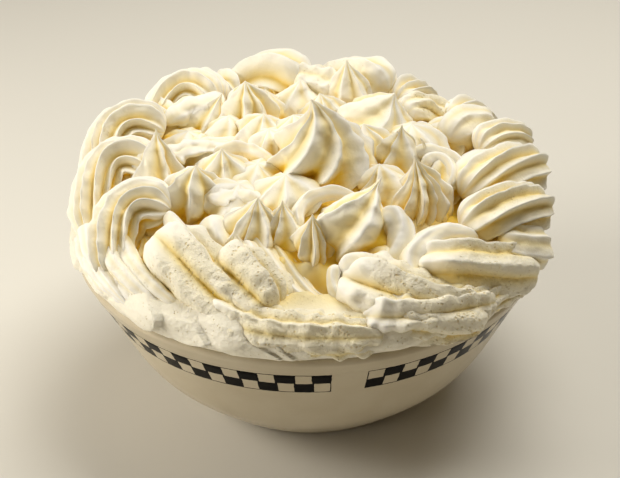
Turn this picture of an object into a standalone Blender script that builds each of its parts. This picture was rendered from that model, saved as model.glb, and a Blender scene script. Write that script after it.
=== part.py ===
"""Banana cream pie in its own bowl: a turned stoneware bowl heaped with piped whipped cream.

The bowl stands on z = 0, centred on the Z axis. The cream fills it, laps over its lip and rises into
a ring of ribbed shells, each piped from the middle outwards over the rim, round a field of kisses.
Sizes are millimetres, and MM turns them into metres where a mesh is made. Azimuths and headings are
degrees, anticlockwise from +X seen from above. The side seen first is -Y.
"""
from collections import namedtuple
from math import cos, pi, radians, sin

import bmesh
import bpy
import numpy as np

MM = 0.001

# Bowl: heavy diner stoneware, turned round Z
RIM_RADIUS = 95.0
RIM_HEIGHT = 70.0
LIP_RADIUS = 92.1
LIP_HEIGHT = 61.9
FOOT_RADIUS = 49.3
FOOT_PULL = (31.0, 28.5)
LIP_PULL = (19.6, 40.3)
WALL = 4.5
FLOOR = 7.0
FOOT_WALL = 5.0
FOOT_RECESS = 2.5
FLOOR_FILLET = 5.0
LIP_ROUND = 1.4
BOWL_SEGMENTS = 44
BOWL_STEPS = 8

# Cream: the spread heap that fills the bowl and carries the piping
GAP = 0.3
DOME_HEIGHT = 98.0
DOME_FALL = 0.0026
DOME_RADIUS = 64.0
REAR_RISE = 0.06
NECK = 2.0
SKIRT_EDGE = 94.6
SKIRT_FOOT = RIM_HEIGHT + GAP + 0.2
SKIRT_ROUND = (1.0, 4.0)
SKIRT_MIDDLE = 79.0
SKIRT_SHOULDER = 87.0
SHOULDER_RADIUS = 89.0
BULGE_AZIMUTH = 190.0
BULGE = 6.0
BARE_AZIMUTH = -28.0
BARE_WIDTH = 20.0
BARE_DEPTH = 5.5
HEAP_RINGS = 4
HEAP_REACH = (74.0, 10.0)

# Piping: how finely each rib is made, how far a body is sunk in the heap, and how a shell's tail ends
RIB_STEPS = 2
KISS_RINGS = 6
SHELL_RINGS = 9
SHELL_LOBES = 9
SUNK = 4.0
RIB_DEPTH = 0.30
KISS_TIP = 0.4
KISS_TOP = 0.94
TAIL_SUNK = 3.0
TAIL_FALL = 1.8
TAIL_TIP = 0.6
SHELL_TURN = 0.2
SHELL_TWIST = 0.25
UNEVEN = 0.10
SEED = 7
WELD = 0.005

# lean: how far the tip is drawn to +X; first: the first ridge's angle; waist and belly: see kiss_width
Kiss = namedtuple("Kiss", "x y radius height lean lobes twist first waist belly")
KISSES = (
    Kiss(4, -5, 23.0, 28, -3, 6, 75, 15, 1.60, 1.5),
    Kiss(0, -53, 11.0, 17, 1, 6, 20, 0, 1.35, 1.1),
    Kiss(-19, -40, 11.0, 14, 0, 7, 15, 10, 1.40, 1.6),
    Kiss(-9, -38, 10.0, 19, -1, 6, 20, 40, 1.40, 1.2),
    Kiss(-46, -21, 15.0, 20, 2, 7, 12, 5, 1.70, 2.4),
    Kiss(-60, 12, 14.0, 20, 2, 7, 12, 20, 1.50, 1.5),
    Kiss(-43, 44, 17.0, 17, 7, 5, 40, 10, 1.50, 1.5),
    Kiss(-25, 43, 14.0, 20, 1, 6, 20, 25, 1.40, 1.2),
    Kiss(24, 62, 17.0, 18, -3, 5, 30, 15, 1.40, 1.4),
    Kiss(27, 33, 18.0, 17, 8, 5, 50, 0, 1.50, 2.4),
    Kiss(43, -22, 18.0, 19, -4, 8, 15, 10, 1.50, 1.3),
    Kiss(30, -36, 15.0, 23, -3, 6, 30, 30, 1.50, 1.4),
    Kiss(9, -40, 17.0, 13, 8, 5, 70, 0, 1.50, 2.4),
    Kiss(-34, -6, 12.0, 12, 0, 5, 30, 30, 1.40, 1.2),
    Kiss(-21, -3, 18.0, 10, 3, 5, 60, 0, 1.60, 2.2),
    Kiss(54, -6, 15.0, 12, -2, 5, 60, 20, 1.60, 2.4),
    Kiss(36, 3, 14.0, 13, 1, 5, 30, 0, 1.50, 1.4),
    Kiss(-3, 58, 16.0, 15, 0, 5, 30, 0, 1.50, 1.6),
    Kiss(8, 36, 15.0, 14, -3, 5, 40, 20, 1.50, 1.8),
    Kiss(54, 34, 17.0, 10, -5, 5, 40, 0, 1.60, 2.4),
    Kiss(-31, -40, 13.0, 12, 4, 6, 30, 0, 1.70, 2.6),
    Kiss(-43, 14, 17.0, 9, -1, 5, 50, 0, 1.60, 2.4),
    Kiss(-26, -20, 15.0, 8, 2, 5, 40, 0, 1.70, 2.6),
    Kiss(-4, 17, 17.0, 11, -2, 5, 40, 0, 1.60, 2.2),
    Kiss(-20, 23, 17.0, 11, 2, 5, 40, 30, 1.60, 2.2),
    Kiss(22, 10, 15.0, 11, 0, 5, 50, 10, 1.60, 2.2),
    Kiss(42, 18, 15.0, 10, 0, 5, 50, 40, 1.60, 2.2),
    Kiss(-10, -24, 14.0, 9, 0, 5, 30, 20, 1.60, 2.2),
)

# azimuth and radius place the crest; start and end are the headings between which the rope turns;
# thick is the rope's half width, reach its length past the crest, top its highest level
Shell = namedtuple("Shell", "azimuth radius start end thick reach top taper")
SHELLS = (
    Shell(-158, 72, 185, 285, 15, 34, 103, 0.6),
    Shell(-137, 69, -85, -15, 15, 40, 103, 0.6),
    Shell(-108, 69, -65, 5, 16, 46, 102, 0.6),
    Shell(-75, 72, -50, 15, 16, 44, 102, 0.6),
    Shell(-51, 68, -20, 40, 15, 38, 102, 0.6),
    Shell(-34, 75, -5, 5, 13, 22, 95, 0.8),
    Shell(-20, 64, -8, -6, 15, 31, 106, 0.8),
    Shell(6, 66, 8, 4, 15, 29, 107, 0.8),
    Shell(21, 75, 8, 5, 12, 21, 104, 0.8),
    Shell(35, 75, 10, 20, 12, 14, 104, 0.7),
    Shell(52, 76, 10, 40, 14, 17, 105, 0.7),
    Shell(73, 79, 160, 200, 15, 22, 111, 0.6),
    Shell(98, 79, 165, 190, 16, 24, 116, 0.6),
    Shell(116, 77, 170, 195, 14, 24, 107, 0.6),
    Shell(130, 81, 170, 200, 15, 26, 110, 0.6),
    Shell(152, 82, 175, 240, 15, 28, 110, 0.6),
    Shell(172, 76, 180, 260, 14, 30, 106, 0.6),
)


def clear_scene():
    """Take away whatever the file held."""
    for item in list(bpy.data.objects):
        bpy.data.objects.remove(item)


def glazed_stoneware():
    """Ivory glaze over stoneware: smooth and softly glossy."""
    surface = bpy.data.materials.new("ivory glazed stoneware")
    surface.use_nodes = True
    shader = surface.node_tree.nodes["Principled BSDF"]
    shader.inputs["Base Color"].default_value = (0.58, 0.50, 0.36, 1.0)
    shader.inputs["Roughness"].default_value = 0.22
    shader.inputs["Metallic"].default_value = 0.0
    return surface


def whipped_cream():
    """Sweetened whipped cream: matt, warm white with yellow in its depths."""
    surface = bpy.data.materials.new("whipped cream")
    surface.use_nodes = True
    shader = surface.node_tree.nodes["Principled BSDF"]
    shader.inputs["Base Color"].default_value = (0.88, 0.80, 0.58, 1.0)
    shader.inputs["Roughness"].default_value = 0.55
    shader.inputs["Metallic"].default_value = 0.0
    return surface


def add_object(name, mesh, surface):
    """Put a finished mesh into the scene under its own name."""
    mesh.shade_smooth()
    mesh.set_sharp_from_angle(angle=radians(50.0))
    mesh.materials.append(surface)
    item = bpy.data.objects.new(name, mesh)
    bpy.context.scene.collection.objects.link(item)
    return item


def closed_rings(name, rings, first_pole, last_pole, surface):
    """Skin an array of rings (rings, points, 3) in millimetres, closed by a pole at each end."""
    count, points, _ = rings.shape
    build = bmesh.new()
    grid = [[build.verts.new(point * MM) for point in ring] for ring in rings]
    ends = [build.verts.new(np.asarray(pole, dtype=float) * MM) for pole in (first_pole, last_pole)]
    for j in range(points):
        after = (j + 1) % points
        build.faces.new((ends[0], grid[0][after], grid[0][j]))
        build.faces.new((ends[1], grid[-1][j], grid[-1][after]))
        for i in range(count - 1):
            build.faces.new((grid[i][j], grid[i][after], grid[i + 1][after], grid[i + 1][j]))
    bmesh.ops.triangulate(build, faces=build.faces[:])
    bmesh.ops.recalc_face_normals(build, faces=build.faces[:])
    mesh = bpy.data.meshes.new(name)
    build.to_mesh(mesh)
    build.free()
    return add_object(name, mesh, surface)


def turned_rings(profile, segments):
    """Rings of a profile of (radius, height) pairs turned round Z."""
    angle = np.arange(segments) * 2.0 * pi / segments
    radius, height = np.asarray(profile, dtype=float).T
    across = radius[:, None] * np.cos(angle)
    along = radius[:, None] * np.sin(angle)
    return np.stack([across, along, height[:, None] + 0.0 * angle], axis=-1)


def bowl_curve(steps):
    """The bowl's outside from foot to lip: one cubic curve, with the inward normal at each point."""
    start = np.array([FOOT_RADIUS, 0.0])
    end = np.array([LIP_RADIUS, LIP_HEIGHT])
    low = start + np.array(FOOT_PULL)
    high = end - np.array(LIP_PULL)
    t = np.linspace(0.0, 1.0, steps + 1)[:, None]
    curve = (1 - t) ** 3 * start + 3 * (1 - t) ** 2 * t * low + 3 * (1 - t) * t ** 2 * high + t ** 3 * end
    slope = 3 * (1 - t) ** 2 * (low - start) + 6 * (1 - t) * t * (high - low) + 3 * t ** 2 * (end - high)
    normal = np.column_stack([-slope[:, 1], slope[:, 0]])
    return curve, normal / np.linalg.norm(normal, axis=1)[:, None]


def wall_offset(distance, floor):
    """The bowl's curve moved inwards by a distance, kept above a floor level."""
    curve, normal = bowl_curve(BOWL_STEPS)
    inside = curve + normal * distance
    return [tuple(point) for point in inside if point[1] > floor + 1.0]


def make_bowl(surface):
    """The bowl: recessed foot, bellied wall, flared lip with a rounded edge, open inside."""
    curve, _ = bowl_curve(BOWL_STEPS)
    inside = wall_offset(WALL, FLOOR)
    foot_inner = FOOT_RADIUS - FOOT_WALL
    underside = [(foot_inner - FOOT_RECESS, FOOT_RECESS), (foot_inner, 0.0)]
    lip = [(RIM_RADIUS, RIM_HEIGHT - LIP_ROUND), (RIM_RADIUS - 0.5 * LIP_ROUND, RIM_HEIGHT),
           (RIM_RADIUS - WALL + 0.5 * LIP_ROUND, RIM_HEIGHT), (RIM_RADIUS - WALL, RIM_HEIGHT - LIP_ROUND)]
    floor_ring = [(inside[0][0] - FLOOR_FILLET, FLOOR)]
    profile = underside + [tuple(point) for point in curve] + lip + inside[::-1] + floor_ring
    rings = turned_rings(profile, BOWL_SEGMENTS)
    return closed_rings("bowl", rings, (0, 0, FOOT_RECESS), (0, 0, FLOOR), surface)


def dome_height(x, y):
    """Top of the heap inside the skirt: a low dome that stands a little higher at the rear."""
    radius = np.minimum(np.hypot(x, y), DOME_RADIUS)
    return DOME_HEIGHT - DOME_FALL * radius ** 2 + REAR_RISE * y


def skirt_offset(azimuth):
    """How far the skirt stands out: a bulge on the left, drawn back where the rim is left bare."""
    bulge = BULGE * np.cos(np.radians(azimuth - BULGE_AZIMUTH)).clip(0.0)
    apart = (azimuth - BARE_AZIMUTH + 180.0) % 360.0 - 180.0
    return bulge, BARE_DEPTH * np.exp(-(apart / BARE_WIDTH) ** 2)


def make_heap(surface):
    """The spread cream: it follows the bowl's inside, laps over the rim and domes over the middle."""
    inside = wall_offset(WALL + GAP, FLOOR + GAP)
    neck = (RIM_RADIUS - WALL - NECK, SKIRT_FOOT)
    floor_ring = (inside[0][0] - FLOOR_FILLET, FLOOR + GAP)
    filling = turned_rings([floor_ring] + inside + [neck], BOWL_SEGMENTS)
    angle = np.arange(BOWL_SEGMENTS) * 2.0 * pi / BOWL_SEGMENTS
    bulge, drawn_back = skirt_offset(np.degrees(angle))
    rounded = (SKIRT_EDGE + SKIRT_ROUND[0], SKIRT_FOOT + SKIRT_ROUND[1], 0.8)
    levels = ((SKIRT_EDGE, SKIRT_FOOT, 0.2), rounded, (SKIRT_EDGE, SKIRT_MIDDLE, 1.0),
              (SHOULDER_RADIUS, SKIRT_SHOULDER, 0.8))
    skirt = []
    for radius, height, share in levels:
        out = radius + share * bulge - drawn_back
        skirt.append(np.column_stack([out * np.cos(angle), out * np.sin(angle), np.full_like(angle, height)]))
    dome = []
    for radius in np.linspace(*HEAP_REACH, HEAP_RINGS):
        x, y = radius * np.cos(angle), radius * np.sin(angle)
        dome.append(np.column_stack([x, y, dome_height(x, y)]))
    rings = np.concatenate([filling, np.array(skirt), np.array(dome)])
    poles = (0, 0, FLOOR + GAP), (0, 0, DOME_HEIGHT)
    return closed_rings("whipped_cream", rings, *poles, surface)


def star_rings(spine, side, width, lobes, depth, turn, seed):
    """Rings of a star-shaped section carried along a spine: ridges with hollows between them.

    The radius is width * (1 - depth) in a hollow and width on a ridge, each lobe a little uneven.
    """
    points = lobes * RIB_STEPS
    around = np.arange(points) * 2.0 * pi / points
    spread = np.random.default_rng(SEED + seed).normal(1.0, UNEVEN, lobes)
    lobe_size = np.repeat(spread, RIB_STEPS)
    star = 1.0 - depth[:, None] * np.abs(np.sin(around * lobes / 2.0)) * np.ones_like(lobe_size)
    radius = width[:, None] * star * lobe_size
    forward = np.gradient(spine, axis=0)
    forward /= np.linalg.norm(forward, axis=1)[:, None]
    upper = np.cross(forward, side)
    upper /= np.linalg.norm(upper, axis=1)[:, None]
    across = np.cross(upper, forward)
    angle = around + turn[:, None]
    sideways = (radius * np.cos(angle))[..., None] * across[:, None]
    upwards = (radius * np.sin(angle))[..., None] * upper[:, None]
    return spine[:, None] + sideways + upwards


def above_rim(points):
    """Keep piped cream clear of the bowl: nothing below the level just over the rim."""
    lifted = np.array(points, dtype=float)
    lifted[..., 2] = np.maximum(lifted[..., 2], SKIRT_FOOT)
    return lifted


def kiss_width(kiss, rise):
    """Half width of a kiss at a share of its height: (1 - u)^waist * (1 + belly * u)."""
    return kiss.radius * (1.0 - rise) ** kiss.waist * (1.0 + kiss.belly * rise) + KISS_TIP


def make_kiss(kiss, seed, surface):
    """A kiss: a star of cream pressed down, then drawn up to a leaning, twisted point."""
    rise = np.linspace(0.0, KISS_TOP, KISS_RINGS)
    base = float(dome_height(kiss.x, kiss.y)) - SUNK
    height = kiss.height + SUNK
    spine = np.column_stack([kiss.x + kiss.lean * rise ** 2, kiss.y + 0.0 * rise, base + height * rise])
    side = np.array([1.0, 0.0, 0.0])
    depth = RIB_DEPTH * (0.55 + 0.45 * np.sin(pi * rise))
    turn = radians(kiss.first) - radians(kiss.twist) * rise ** 0.8
    rings = star_rings(spine, side, kiss_width(kiss, rise), kiss.lobes, depth, turn, seed)
    tip = (kiss.x + kiss.lean, kiss.y, base + height)
    return closed_rings("kiss", above_rim(rings), spine[0], tip, surface)


def shell_spine(shell):
    """Centre line of a shell: up from the middle to its crest, then out, round and down to the rim."""
    length = shell.thick + shell.reach
    share = np.linspace(0.0, 1.0, SHELL_RINGS)
    crest_share = shell.thick / length
    heading = np.radians(shell.start + (shell.end - shell.start) * share)
    step = length / (SHELL_RINGS - 1)
    walked = np.cumsum(np.column_stack([np.cos(heading), np.sin(heading)]) * step, axis=0)
    at_crest = [np.interp(crest_share, share, walked[:, k]) for k in (0, 1)]
    place = shell.radius * np.array([cos(radians(shell.azimuth)), sin(radians(shell.azimuth))])
    plan = walked - np.array(at_crest) + place
    level = shell.top - shell.thick
    before = np.sin(0.5 * pi * np.clip(share / crest_share, 0.0, 1.0))
    after = np.clip((share - crest_share) / (1.0 - crest_share), 0.0, 1.0)
    tail_level = SKIRT_MIDDLE - TAIL_SUNK
    height = level - shell.thick * (1.0 - before) + (tail_level - level) * after ** TAIL_FALL
    side = np.column_stack([-np.sin(heading), np.cos(heading), np.zeros_like(heading)])
    return np.column_stack([plan, height]), side, share / crest_share, after


def make_shell(shell, seed, surface):
    """A shell: a thick ribbed rope that starts small, swells over its crest and thins to its tail."""
    spine, side, before, after = shell_spine(shell)
    swell = np.sqrt(np.sin(0.5 * pi * np.clip(before, 0.08, 1.0)))
    width = shell.thick * swell * (1.0 + (shell.taper - 1.0) * after)
    width[-1] *= TAIL_TIP
    depth = RIB_DEPTH * (1.0 - 0.3 * after)
    turn = SHELL_TURN + SHELL_TWIST * after
    rings = star_rings(spine, side, width, SHELL_LOBES, depth, turn, seed)
    return closed_rings("shell", above_rim(rings), spine[0], above_rim(spine[-1]), surface)


def connected_parts(build):
    """The bmesh's faces sorted into parts that hang together, largest first."""
    waiting = set(build.faces)
    parts = []
    while waiting:
        part = [waiting.pop()]
        for face in part:
            for edge in face.edges:
                for neighbour in edge.link_faces:
                    if neighbour in waiting:
                        waiting.remove(neighbour)
                        part.append(neighbour)
        parts.append(part)
    return sorted(parts, key=len, reverse=True)


def keep_outer_body(mesh):
    """Weld the fused mesh, then drop sealed hollows and loose scraps, which are its smaller parts."""
    build = bmesh.new()
    build.from_mesh(mesh)
    bmesh.ops.remove_doubles(build, verts=build.verts[:], dist=WELD * MM)
    bmesh.ops.triangulate(build, faces=build.faces[:])
    for part in connected_parts(build)[1:]:
        bmesh.ops.delete(build, geom=part, context="FACES")
    build.to_mesh(mesh)
    build.free()


def fuse(base, pieces):
    """Join the pieces to the base by one Boolean union, apply it and take the pieces away."""
    group = bpy.data.collections.new("piping")
    bpy.context.scene.collection.children.link(group)
    for piece in pieces:
        bpy.context.scene.collection.objects.unlink(piece)
        group.objects.link(piece)
    union = base.modifiers.new("union", "BOOLEAN")
    union.operation = "UNION"
    union.operand_type = "COLLECTION"
    union.collection = group
    union.solver = "MANIFOLD"
    bpy.context.view_layer.update()
    joined = bpy.data.meshes.new_from_object(base.evaluated_get(bpy.context.evaluated_depsgraph_get()))
    base.modifiers.clear()
    keep_outer_body(joined)
    base.data = joined
    for piece in pieces:
        bpy.data.objects.remove(piece)
    bpy.data.collections.remove(group)
    return base


def main():
    clear_scene()
    glaze = glazed_stoneware()
    cream = whipped_cream()
    make_bowl(glaze)
    heap = make_heap(cream)
    kisses = [make_kiss(kiss, seed, cream) for seed, kiss in enumerate(KISSES)]
    shells = [make_shell(shell, seed + len(KISSES), cream) for seed, shell in enumerate(SHELLS)]
    fuse(heap, kisses + shells)


main()
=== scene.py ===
"""Looks of a banana cream pie in its own bowl: piped whipped cream heaped over glazed stoneware.

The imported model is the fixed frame. The bowl is turned again with a fine surface, and the cream node is
replaced by its real parts: the spread heap with its smeared skirt, ribbed shells piped outwards over the
rim, and twisted kisses in the middle. Sizes are millimetres; MM turns them into metres where a mesh is
made. Azimuths and headings are degrees, anticlockwise from +X seen from above; the side seen first is -Y.
"""
import logging
from dataclasses import dataclass, field
from math import cos, pi, radians, sin
from typing import Any

import bpy
import numpy as np
from mathutils import Matrix, Vector


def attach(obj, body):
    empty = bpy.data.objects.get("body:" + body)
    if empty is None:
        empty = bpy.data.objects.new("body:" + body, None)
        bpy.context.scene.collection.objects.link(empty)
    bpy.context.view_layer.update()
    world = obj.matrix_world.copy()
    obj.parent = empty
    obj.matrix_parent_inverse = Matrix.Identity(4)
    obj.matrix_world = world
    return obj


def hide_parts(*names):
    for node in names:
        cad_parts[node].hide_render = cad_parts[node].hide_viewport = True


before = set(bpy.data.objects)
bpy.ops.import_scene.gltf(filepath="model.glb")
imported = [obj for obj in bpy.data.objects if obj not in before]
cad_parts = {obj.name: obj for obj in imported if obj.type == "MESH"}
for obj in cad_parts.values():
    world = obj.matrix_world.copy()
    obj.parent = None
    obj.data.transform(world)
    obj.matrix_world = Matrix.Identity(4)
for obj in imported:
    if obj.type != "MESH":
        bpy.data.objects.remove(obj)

LOG = logging.getLogger("banana_cream_pie")
MM = 0.001
Array = np.ndarray
Point = tuple[float, float, float]
Socket = bpy.types.NodeSocket
Material = bpy.types.Material
SEED_STEP = 7
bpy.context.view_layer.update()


# ---------------- small tools


def linear(code: str) -> tuple[float, float, float, float]:
    """Turn an sRGB hex colour into linear light.

    Args:
        code: Six hex digits, with or without a leading #.

    Returns:
        Linear red, green, blue and an alpha of 1.
    """
    digits = code.lstrip("#")
    parts = [int(digits[i:i + 2], 16) / 255.0 for i in (0, 2, 4)]
    red, green, blue = [c / 12.92 if c <= 0.04045 else ((c + 0.055) / 1.055) ** 2.4 for c in parts]
    return red, green, blue, 1.0


def eased(low: float, high: float, value: Array) -> Array:
    """Rise smoothly from 0 at low to 1 at high: t * t * (3 - 2 t) of the clipped share t."""
    share = np.clip((value - low) / (high - low), 0.0, 1.0)
    return share * share * (3.0 - 2.0 * share)


def full_turn(count: int) -> Array:
    """Evenly spaced angles once round, in radians."""
    return np.arange(count) * 2.0 * pi / count


def apart(azimuth: Array, middle: float) -> Array:
    """Degrees from the middle to each azimuth, from -180 to 180."""
    return (azimuth - middle + 180.0) % 360.0 - 180.0


def unit(vectors: Array) -> Array:
    """Bring each row to length 1."""
    return vectors / np.linalg.norm(vectors, axis=1)[:, None]


def distance_along(line: Array) -> Array:
    """Distance walked from the start of a line of points, at each point."""
    return np.concatenate([[0.0], np.cumsum(np.linalg.norm(np.diff(line, axis=0), axis=1))])


def on_axis(height: float) -> Array:
    """The place on the Z axis at a height."""
    return np.array([0.0, 0.0, height])


def put_in_scene(name: str, data: bpy.types.ID) -> bpy.types.Object:
    """Make an object of a mesh, a light or a camera and link it to the scene."""
    item = bpy.data.objects.new(name, data)
    bpy.context.scene.collection.objects.link(item)
    return item


@dataclass(frozen=True)
class Relief:
    """Smooth unevenness in space: a sum of plane waves that run in random directions.

    Attributes:
        length: Usual length of a bump.
        height: Usual height of a bump.
        seed: Picks the waves.
        stretch: Factors on x, y and z before the waves are read.
        waves: How many waves are summed.
    """

    length: float
    height: float
    seed: int
    stretch: Point = (1.0, 1.0, 1.0)
    waves: int = 12

    def at(self, places: Array) -> Array:
        """Read the unevenness: height * sqrt(2 / n) * the sum of cos(k . p + phase).

        Args:
            places: Points, in an array that ends with an axis of 3.

        Returns:
            The height at each point.
        """
        draw = np.random.default_rng(self.seed)
        way = unit(draw.normal(size=(self.waves, 3)))
        pace = 2.0 * pi / self.length * draw.uniform(0.6, 1.4, self.waves)
        phase = draw.uniform(0.0, 2.0 * pi, self.waves)
        spread = places * np.array(self.stretch)
        total = np.zeros(places.shape[:-1])
        for k, shift in zip(way * pace[:, None], phase):
            total += np.cos(spread @ k + shift)
        return self.height * np.sqrt(2.0 / self.waves) * total


@dataclass
class Skin:
    """A closed surface: rings of points with a pole at each end.

    Attributes:
        rings: Points (rings, around, 3).
        first: The pole before the first ring.
        last: The pole after the last ring.
        painted_shade: Share of painted shade: 0 on a ridge to 1 deep in a groove or crevice, for each point
            of the rings.
        airy: 0 where the cream is smooth to 1 where it is full of burst bubbles.
    """

    rings: Array
    first: Array
    last: Array
    painted_shade: Array
    airy: Array

    def points(self) -> Array:
        """All points in mesh order: the rings, then the two poles."""
        return np.concatenate([self.rings.reshape(-1, 3), [self.first, self.last]])

    def quads(self) -> Array:
        """Faces between neighbouring rings, four corners each."""
        count, around, _ = self.rings.shape
        index = np.arange(count * around).reshape(count, around)
        after = np.roll(index, -1, axis=1)
        return np.stack([index[:-1], after[:-1], after[1:], index[1:]], axis=-1).reshape(-1, 4)

    def fans(self) -> Array:
        """Faces from each pole to the ring beside it, three corners each."""
        count, around, _ = self.rings.shape
        index = np.arange(around)
        after = np.roll(index, -1)
        base = (count - 1) * around
        start = np.stack([np.full(around, count * around), after, index], axis=-1)
        end = np.stack([np.full(around, count * around + 1), base + index, base + after], axis=-1)
        return np.concatenate([start, end])

    def inside_out(self, points: Array) -> bool:
        """Tell by the enclosed volume whether the faces point inwards.

        The volume is a sixth of the sum of a . (b x c) over the triangles.
        """
        quads = self.quads()
        corners = np.concatenate([quads[:, [0, 1, 2]], quads[:, [0, 2, 3]], self.fans()])
        a, b, c = points[corners[:, 0]], points[corners[:, 1]], points[corners[:, 2]]
        return float(np.einsum("ij,ij->", a, np.cross(b, c))) < 0.0

    def values(self, name: str) -> Array:
        """One attribute for every point in mesh order, with the mean of the end rings at the poles."""
        grid = getattr(self, name)
        return np.concatenate([grid.ravel(), [grid[0].mean(), grid[-1].mean()]])


def make_piece(name: str, skins: list[Skin], finish: Material) -> bpy.types.Object:
    """Join closed skins into one mesh object.

    Args:
        name: The piece's name.
        skins: The closed surfaces, in millimetres.
        finish: The material that it takes.

    Returns:
        The new object, at the origin, with its place in its mesh.
    """
    points, corners, sizes, offset = [], [], [], 0
    for skin in skins:
        places = skin.points()
        quads, fans = skin.quads(), skin.fans()
        if skin.inside_out(places):
            quads, fans = quads[:, ::-1], fans[:, ::-1]
        points.append(places)
        corners += [(quads + offset).ravel(), (fans + offset).ravel()]
        sizes += [np.full(len(quads), 4), np.full(len(fans), 3)]
        offset += len(places)
    places, loops, totals = np.concatenate(points) * MM, np.concatenate(corners), np.concatenate(sizes)
    mesh = bpy.data.meshes.new(name)
    mesh.vertices.add(len(places))
    mesh.vertices.foreach_set("co", places.ravel())
    mesh.loops.add(len(loops))
    mesh.loops.foreach_set("vertex_index", loops)
    mesh.polygons.add(len(totals))
    mesh.polygons.foreach_set("loop_start", np.concatenate([[0], np.cumsum(totals)[:-1]]))
    mesh.update(calc_edges=True)
    # The painted shade and the bubbles go on the mesh as point attributes that the cream's material reads.
    for label in ("painted_shade", "airy"):
        layer = mesh.attributes.new(label, "FLOAT", "POINT")
        layer.data.foreach_set("value", np.concatenate([skin.values(label) for skin in skins]))
    mesh.shade_smooth()
    mesh.materials.append(finish)
    LOG.info("%s: %d points, %d faces", name, len(places), len(totals))
    return put_in_scene(name, mesh)


def turned(profile: Array, segments: int) -> Array:
    """Turn a profile of (radius, height) pairs round Z.

    Args:
        profile: The profile (points, 2).
        segments: How many steps go round.

    Returns:
        Rings (points, segments, 3): (radius cos a, radius sin a, height).
    """
    angle = full_turn(segments)
    radius, height = np.asarray(profile, dtype=float).T
    return np.stack([radius[:, None] * np.cos(angle), radius[:, None] * np.sin(angle),
                     height[:, None] + 0.0 * angle], axis=-1)


# ---------------- finishes


class Surface:
    """A material while it is put together: a node tree round one principled shader.

    Attributes:
        made: The material.
        tree: Its node tree.
    """

    def __init__(self, name: str) -> None:
        """Start a material with this name."""
        self.made = bpy.data.materials.new(name)
        self.made.use_nodes = True
        self.tree = self.made.node_tree

    def plug(self, node: bpy.types.Node, links: dict[Any, Any]) -> None:
        """Link a node's inputs to sockets, and set the others to plain values."""
        for key, value in links.items():
            if isinstance(value, Socket):
                self.tree.links.new(value, node.inputs[key])
            else:
                node.inputs[key].default_value = value

    def node(self, kind: str, links: dict[Any, Any] | None = None, **settings: Any) -> bpy.types.Node:
        """Add one shader node.

        Args:
            kind: The end of the node's type name.
            links: For each input, a socket to link from or a plain value to set.
            settings: Properties of the node itself.

        Returns:
            The new node.
        """
        node = self.tree.nodes.new(f"ShaderNode{kind}")
        for name, value in settings.items():
            setattr(node, name, value)
        self.plug(node, links or {})
        return node

    def place(self) -> Socket:
        """Object coordinates in metres."""
        return self.node("TexCoord").outputs["Object"]

    def noise(self, length: float, **inputs: float) -> Socket:
        """Cloudy noise with spots of a length in millimetres."""
        links = {"Vector": self.place(), "Scale": 1.0 / (length * MM), **inputs}
        return self.node("TexNoise", links).outputs["Fac"]

    def maths(self, operation: str, *inputs: Any) -> Socket:
        """One step of arithmetic on sockets and numbers."""
        return self.node("Math", dict(enumerate(inputs)), operation=operation).outputs[0]

    def mix(self, share: Socket, first: Any, second: Any) -> Socket:
        """Mix two colours by a share."""
        return self.node("Mix", {"Factor": share, 6: first, 7: second}, data_type="RGBA").outputs[2]

    def bump(self, height: Socket, strength: float, distance: float) -> Socket:
        """Normals of a relief whose full height is a distance in millimetres."""
        links = {"Height": height, "Strength": strength, "Distance": distance * MM}
        return self.node("Bump", links).outputs["Normal"]

    def finish(self, **inputs: Any) -> Material:
        """Set the shader's inputs, with _ for the spaces in their names, and give the material."""
        links = {name.replace("_", " "): value for name, value in inputs.items()}
        self.plug(self.tree.nodes["Principled BSDF"], links)
        return self.made


@dataclass(frozen=True)
class CheckerBand:
    """Fired-on band of squares in two rows, broken into equal runs round the bowl.

    Attributes:
        levels: Heights of the band's foot, of the line between the rows, and of its top.
        squares: Squares in a run.
        runs: Runs round the bowl.
        start: Azimuth where a run starts.
        gap: Degrees left bare between two runs.
        line: Width of the drawn outline.
        radius: Radius of the wall there.
        shake_length: Length of the unevenness in the painted edges.
        shake: Unevenness to each side, as a share of a square.
        shake_height: What a whole share comes to in height.
    """

    levels: Point = (49.8, 55.86, 61.7)
    squares: int = 26
    runs: int = 3
    start: float = -77.45
    gap: float = 8.25
    line: float = 0.42
    radius: float = 89.2
    shake_length: float = 2.2
    shake: float = 0.05
    shake_height: float = 5.0


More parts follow.
